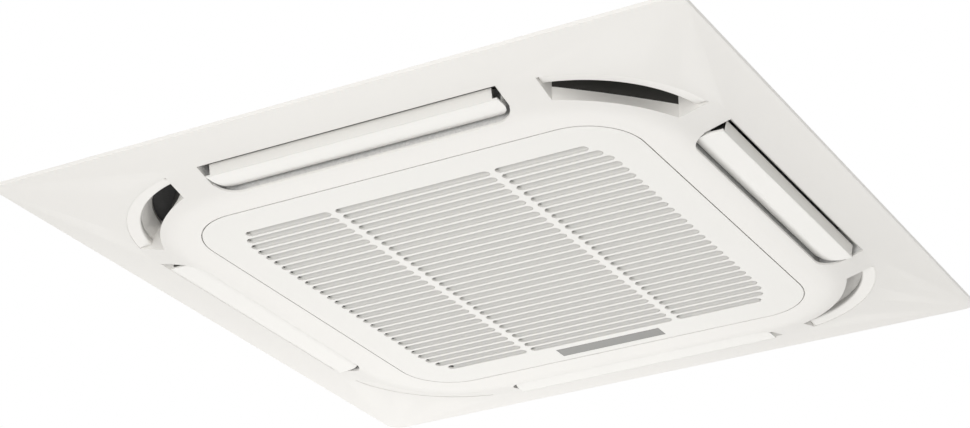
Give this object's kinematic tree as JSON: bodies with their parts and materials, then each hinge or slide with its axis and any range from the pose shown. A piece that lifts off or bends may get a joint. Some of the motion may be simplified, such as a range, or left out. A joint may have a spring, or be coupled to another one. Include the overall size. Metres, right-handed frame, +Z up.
{
  "type": "ceiling cassette air conditioner",
  "caption": "Ceiling cassette air conditioner: square room panel with a slatted grille and swinging louvres under an octagonal casing with fan and coil.",
  "frame": {"origin": "centre of the four hanger slots, on the underside of the hanger lugs", "axes": "+Z up towards the slab, -Y towards the front of the panel, +Y towards the display and the grille's hinge, +X towards the pipe connections"},
  "size_m": [0.969, 0.95, 0.307],
  "materials": {
    "panel_white": "fine satin moulded plastic",
    "grille_white": "fine satin moulded plastic",
    "louver_white": "smooth satin moulded plastic",
    "display_grey": "tinted window",
    "board_green": "circuit board",
    "foam_white": "expanded foam",
    "foam_dark": "expanded foam, flocked dark",
    "seal_black": "soft foam seal",
    "lining_black": "closed-cell insulation",
    "galvanised": "zinc-coated sheet",
    "steel": "bright steel",
    "hub_black": "moulded plastic",
    "motor_metal": "pressed steel can",
    "rubber_black": "rubber",
    "aluminium_fin": "pressed fins",
    "copper": "drawn copper tube",
    "brass_nut": "machined brass",
    "filter_dark": "moulded frame",
    "filter_net": "fine woven net",
    "motor_white": "moulded plastic",
    "drain_grey": "moulded plastic",
    "hose_grey": "flexible hose",
    "gland_black": "moulded nylon"
  },
  "bodies": {
    "casing": {"panel_frame": "panel_white", "duct_blocks": "foam_white", "corner_blocks": "foam_dark", "panel_seal": "seal_black", "panel_screws": "steel", "louver_motor_back": "motor_white", "louver_motor_left": "motor_white", "louver_motor_front": "motor_white", "louver_motor_right": "motor_white", "pivot_bushes": "drain_grey", "hinge_pins": "steel", "catch_housings": "drain_grey", "casing_screws": "steel", "casing_sides": "galvanised", "casing_top": "galvanised", "side_lining": "lining_black", "top_lining": "lining_black", "hanger_lugs": "galvanised", "drain_pan": "foam_white", "bell_mouth": "hub_black", "fan_motor": "motor_metal", "motor_mounts": "rubber_black", "coil_fins": "aluminium_fin", "coil_plates": "galvanised", "coil_tubes": "copper", "gas_pipe": "copper", "liquid_pipe": "copper", "flare_unions": "brass_nut", "pipe_cover": "galvanised", "drain_pump": "motor_white", "pump_bracket": "galvanised", "float_switch": "motor_white", "drain_hose": "hose_grey", "drain_socket": "drain_grey", "control_box": "galvanised", "control_lid": "galvanised", "circuit_board": "board_green", "terminal_block": "hub_black", "cable_gland": "gland_black", "fresh_air_cover": "galvanised", "inlet_sensor": "hub_black"},
    "grille": {"intake_grille": "grille_white", "display_window": "display_grey", "display_board": "board_green", "hinge_arms": "panel_white", "catch_strikers": "grille_white"},
    "filter": {"filter_frame": "filter_dark", "filter_mesh": "filter_net"},
    "louver_back": {"louver_back": "louver_white"},
    "louver_left": {"louver_left": "louver_white"},
    "louver_front": {"louver_front": "louver_white"},
    "louver_right": {"louver_right": "louver_white"},
    "fan": {"fan_wheel": "hub_black", "fan_nut": "steel", "motor_shaft": "steel"},
    "impeller": {"pump_impeller": "drain_grey"},
    "float": {"drain_float": "hub_black"},
    "plunger_left": {"catch_plunger_left": "motor_white"},
    "plunger_right": {"catch_plunger_right": "motor_white"}
  },
  "joints": [
    {"name": "grille_hinge", "type": "hinge", "parent": "casing", "child": "grille", "pos_m": [0, 0.331, -0.188], "axis": [1, 0, 0], "range_deg": [0, 90]},
    {"name": "filter_lift", "type": "slide", "parent": "grille", "child": "filter", "axis": [0, 0, 1], "range_m": [0, 0.012]},
    {"name": "louver_back_swing", "type": "hinge", "parent": "casing", "child": "louver_back", "pos_m": [0, 0.376, -0.184], "axis": [1, 0, 0], "range_deg": [-42, 8]},
    {"name": "louver_left_swing", "type": "hinge", "parent": "casing", "child": "louver_left", "pos_m": [-0.376, 0, -0.184], "axis": [0, 1, 0], "range_deg": [-42, 8]},
    {"name": "louver_front_swing", "type": "hinge", "parent": "casing", "child": "louver_front", "pos_m": [0, -0.376, -0.184], "axis": [-1, 0, 0], "range_deg": [-42, 8]},
    {"name": "louver_right_swing", "type": "hinge", "parent": "casing", "child": "louver_right", "pos_m": [0.376, 0, -0.184], "axis": [0, -1, 0], "range_deg": [-42, 8]},
    {"name": "fan_spin", "type": "hinge", "parent": "casing", "child": "fan", "pos_m": [0, 0, 0], "axis": [0, 0, 1], "continuous": true},
    {"name": "impeller_spin", "type": "hinge", "parent": "casing", "child": "impeller", "pos_m": [0.29, 0.274, -0.11], "axis": [0, 0, 1], "continuous": true},
    {"name": "float_rise", "type": "slide", "parent": "casing", "child": "float", "axis": [0, 0, 1], "range_m": [0, 0.01]},
    {"name": "plunger_left_push", "type": "slide", "parent": "casing", "child": "plunger_left", "axis": [0, 0, 1], "range_m": [0, 0.004], "stiffness_N_per_m": 400, "springref_m": -0.004},
    {"name": "plunger_right_push", "type": "slide", "parent": "casing", "child": "plunger_right", "axis": [0, 0, 1], "range_m": [0, 0.004], "stiffness_N_per_m": 400, "springref_m": -0.004}
  ]
}
